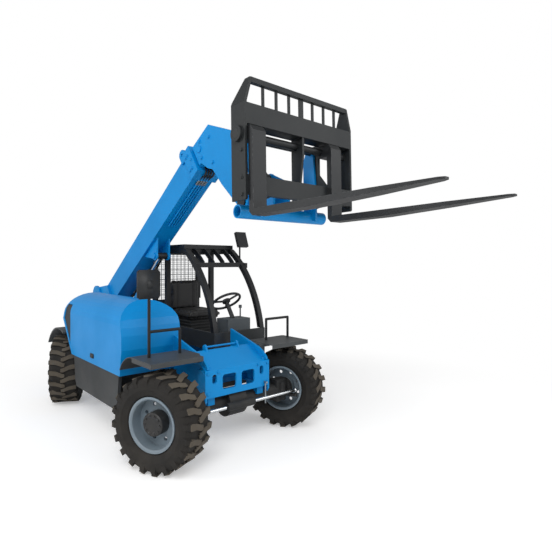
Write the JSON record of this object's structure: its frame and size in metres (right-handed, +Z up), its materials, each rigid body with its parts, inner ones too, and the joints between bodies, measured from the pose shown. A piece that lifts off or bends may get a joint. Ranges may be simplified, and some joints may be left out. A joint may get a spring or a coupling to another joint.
{
  "type": "telehandler",
  "caption": "Compact telehandler with an open tube cab, side engine pod, raised telescopic boom and a floating pallet fork carriage on steered lug-tyred wheels.",
  "frame": {"origin": "on the ground, at the middle of the length and width of the whole machine as parked", "axes": "+X towards the fork tips, +Y to the machine's left where the cab is, +Z up"},
  "size_m": [5.6568, 2.0576, 2.9879],
  "materials": {
    "blue_paint": "gloss paint",
    "dark_paint": "satin black paint",
    "ballast_paint": "satin dark paint",
    "grey_panel": "satin grey moulding",
    "cab_panel": "satin charcoal paint",
    "engine_iron": "dull",
    "tank": "matt moulding",
    "fender": "satin grey",
    "mesh": "galvanised",
    "seat_cover": "matt vinyl",
    "console": "satin",
    "black_plastic": "satin",
    "carriage_paint": "satin charcoal paint",
    "rod_chrome": "polished",
    "pin_steel": "zinc",
    "pipe_steel": "zinc",
    "rim_paint": "satin grey paint",
    "tyre_rubber": "matt rubber"
  },
  "bodies": {
    "chassis": {"main_frame": "blue_paint", "front_nose": "blue_paint", "counterweight": "ballast_paint", "front_axle": "dark_paint", "rear_axle": "dark_paint", "driveline": "dark_paint", "engine": "engine_iron", "engine_skirt": "grey_panel", "fuel_tank": "tank", "front_fenders": "fender", "rear_fenders": "fender", "mirrors": "black_plastic", "cab_tub": "cab_panel", "cab_frame": "dark_paint", "cab_roof": "dark_paint", "cab_mesh": "mesh", "seat": "seat_cover", "console": "console", "steering_wheel": "black_plastic"},
    "hood": {"engine_hood": "blue_paint", "hood_grille": "black_plastic"},
    "boom": {"boom_outer": "blue_paint", "boom_pipes": "pipe_steel"},
    "inner": {"boom_inner": "blue_paint", "tilt_pin": "pin_steel"},
    "carriage": {"head_pin": "pin_steel", "coupler": "blue_paint", "carriage_frame": "carriage_paint", "fork_shaft": "pin_steel", "forks": "carriage_paint"},
    "lift_barrel": {"lift_barrel": "blue_paint"},
    "lift_rod": {"lift_rod": "rod_chrome"},
    "tilt_barrel": {"tilt_barrel": "dark_paint"},
    "tilt_rod": {"tilt_rod": "rod_chrome"},
    "steer_rod_front": {"steer_rod_front": "rod_chrome"},
    "steer_rod_rear": {"steer_rod_rear": "rod_chrome"},
    "knuckle_fr": {"knuckle_fr": "dark_paint"},
    "wheel_fr": {"rim_fr": "rim_paint", "tyre_fr": "tyre_rubber"},
    "knuckle_fl": {"knuckle_fl": "dark_paint"},
    "wheel_fl": {"rim_fl": "rim_paint", "tyre_fl": "tyre_rubber"},
    "knuckle_rr": {"knuckle_rr": "dark_paint"},
    "wheel_rr": {"rim_rr": "rim_paint", "tyre_rr": "tyre_rubber"},
    "knuckle_rl": {"knuckle_rl": "dark_paint"},
    "wheel_rl": {"rim_rl": "rim_paint", "tyre_rl": "tyre_rubber"}
  },
  "joints": [
    {"name": "boom_lift", "type": "hinge", "parent": "chassis", "child": "boom", "pos_m": [-2.49826, 0, 1.22], "axis": [0, -1, 0], "range_deg": [-33.5, 36]},
    {"name": "boom_extend", "type": "slide", "parent": "boom", "child": "inner", "axis": [0.829, 0, 0.5592], "range_m": [0, 1.8]},
    {"name": "carriage_tilt", "type": "hinge", "parent": "inner", "child": "carriage", "pos_m": [0.77198, 0, 2.2015], "axis": [0, 1, 0], "range_deg": [-46.5, 81]},
    {"name": "hood_open", "type": "hinge", "parent": "chassis", "child": "hood", "pos_m": [-0.69826, -0.274, 1.16], "axis": [-1, 0, 0], "range_deg": [0, 55]},
    {"name": "lift_cylinder_swing", "type": "hinge", "parent": "chassis", "child": "lift_barrel", "pos_m": [-2.32326, 0, 0.54], "axis": [0, -1, 0], "range_deg": [-28.94, 31.02]},
    {"name": "lift_cylinder_stroke", "type": "slide", "parent": "lift_barrel", "child": "lift_rod", "axis": [0.7546, 0, 0.6562], "range_m": [-0.3561, 0.382]},
    {"name": "tilt_cylinder_swing", "type": "hinge", "parent": "inner", "child": "tilt_barrel", "pos_m": [0.08516, 0, 2.78161], "axis": [0, -1, 0], "range_deg": [-9.1, 5.65]},
    {"name": "tilt_cylinder_stroke", "type": "slide", "parent": "tilt_barrel", "child": "tilt_rod", "axis": [0.9077, 0, -0.4197], "range_m": [-0.1626, 0.2758]},
    {"name": "front_steer", "type": "hinge", "parent": "chassis", "child": "knuckle_fr", "pos_m": [0.45174, -0.62, 0.395], "axis": [0, 0, 1], "range_deg": [-53, 3]},
    {"name": "front_steer_left", "type": "hinge", "parent": "chassis", "child": "knuckle_fl", "pos_m": [0.45174, 0.62, 0.395], "axis": [0, 0, 1], "range_deg": [-53.5, 3.5]},
    {"name": "front_steer_rod", "type": "slide", "parent": "chassis", "child": "steer_rod_front", "axis": [0, 1, 0], "range_m": [-0.1484, 0.0131]},
    {"name": "wheel_fr_spin", "type": "hinge", "parent": "knuckle_fr", "child": "wheel_fr", "pos_m": [0.45174, -0.62, 0.395], "axis": [-0.4226, 0.9063, 0], "continuous": true},
    {"name": "wheel_fl_spin", "type": "hinge", "parent": "knuckle_fl", "child": "wheel_fl", "pos_m": [0.45174, 0.62, 0.395], "axis": [-0.4226, 0.9063, 0], "continuous": true},
    {"name": "rear_steer", "type": "hinge", "parent": "chassis", "child": "knuckle_rr", "pos_m": [-1.84826, -0.62, 0.395], "axis": [0, 0, 1], "range_deg": [-3, 53]},
    {"name": "rear_steer_left", "type": "hinge", "parent": "chassis", "child": "knuckle_rl", "pos_m": [-1.84826, 0.62, 0.395], "axis": [0, 0, 1], "range_deg": [-3.5, 53.5]},
    {"name": "rear_steer_rod", "type": "slide", "parent": "chassis", "child": "steer_rod_rear", "axis": [0, 1, 0], "range_m": [-0.1484, 0.0131]},
    {"name": "wheel_rr_spin", "type": "hinge", "parent": "knuckle_rr", "child": "wheel_rr", "pos_m": [-1.84826, -0.62, 0.395], "axis": [0.4226, 0.9063, 0], "continuous": true},
    {"name": "wheel_rl_spin", "type": "hinge", "parent": "knuckle_rl", "child": "wheel_rl", "pos_m": [-1.84826, 0.62, 0.395], "axis": [0.4226, 0.9063, 0], "continuous": true}
  ],
  "couplings": [
    {"joint": "lift_cylinder_swing", "follows": "boom_lift", "ratio": 0.834},
    {"joint": "lift_cylinder_stroke", "follows": "boom_lift", "m_per_rad": 0.592},
    {"joint": "tilt_cylinder_swing", "follows": "carriage_tilt", "ratio": -0.1},
    {"joint": "tilt_cylinder_stroke", "follows": "carriage_tilt", "m_per_rad": 0.188},
    {"joint": "front_steer_left", "follows": "front_steer", "ratio": 1},
    {"joint": "front_steer_rod", "follows": "front_steer", "m_per_rad": 0.15498},
    {"joint": "rear_steer_left", "follows": "rear_steer", "ratio": 1},
    {"joint": "rear_steer_rod", "follows": "rear_steer", "m_per_rad": -0.15498}
  ]
}
